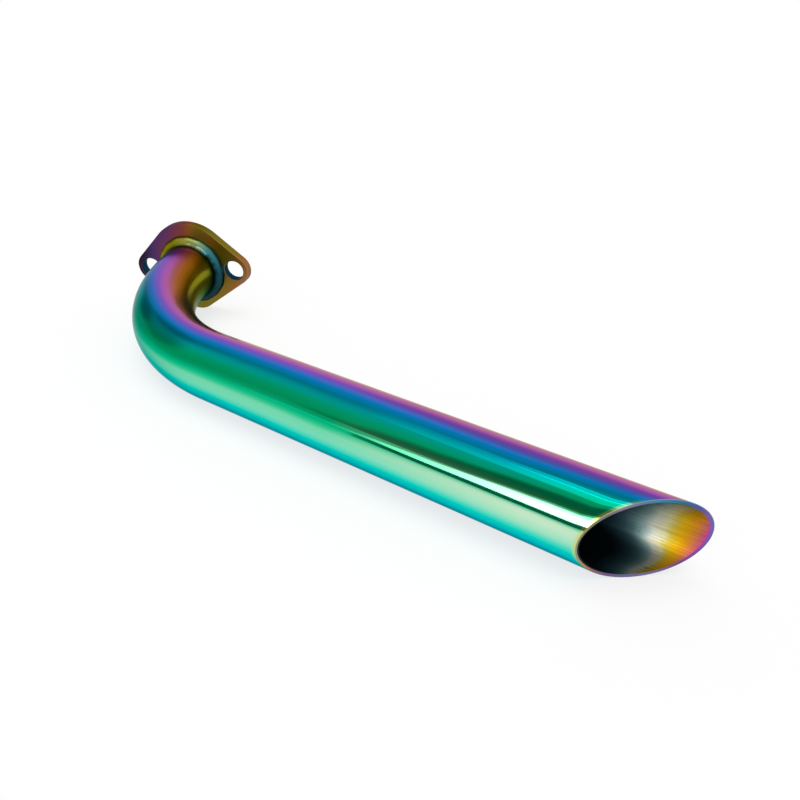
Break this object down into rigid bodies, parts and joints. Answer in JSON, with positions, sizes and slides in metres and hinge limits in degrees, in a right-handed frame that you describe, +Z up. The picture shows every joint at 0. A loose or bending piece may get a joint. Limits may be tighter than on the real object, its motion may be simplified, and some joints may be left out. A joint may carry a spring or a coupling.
{
  "type": "motorcycle exhaust header",
  "caption": "Bent round exhaust header tube with a slash-cut outlet, welded to a two-stud port flange, in a rainbow chrome finish.",
  "frame": {"origin": "centre of the port on the flange's gasket face, midway between the stud holes", "axes": "+X along the straight leg towards the slash-cut outlet, +Z up, with the header lying on its leg and on the flange's lower tip, +Y towards the side that the flange is on"},
  "size_m": [0.286, 0.084, 0.0427],
  "materials": {
    "rainbow_tube": "mirror polished rainbow chrome",
    "rainbow_plate": "satin rainbow chrome",
    "rainbow_weld": "glossy rainbow chrome over a rippled weld",
    "bare_weld": "heat-tinted weld"
  },
  "bodies": {
    "root": {"flange": "rainbow_plate", "header_tube": "rainbow_tube", "outer_weld": "rainbow_weld", "seal_weld": "bare_weld"}
  },
  "joints": []
}
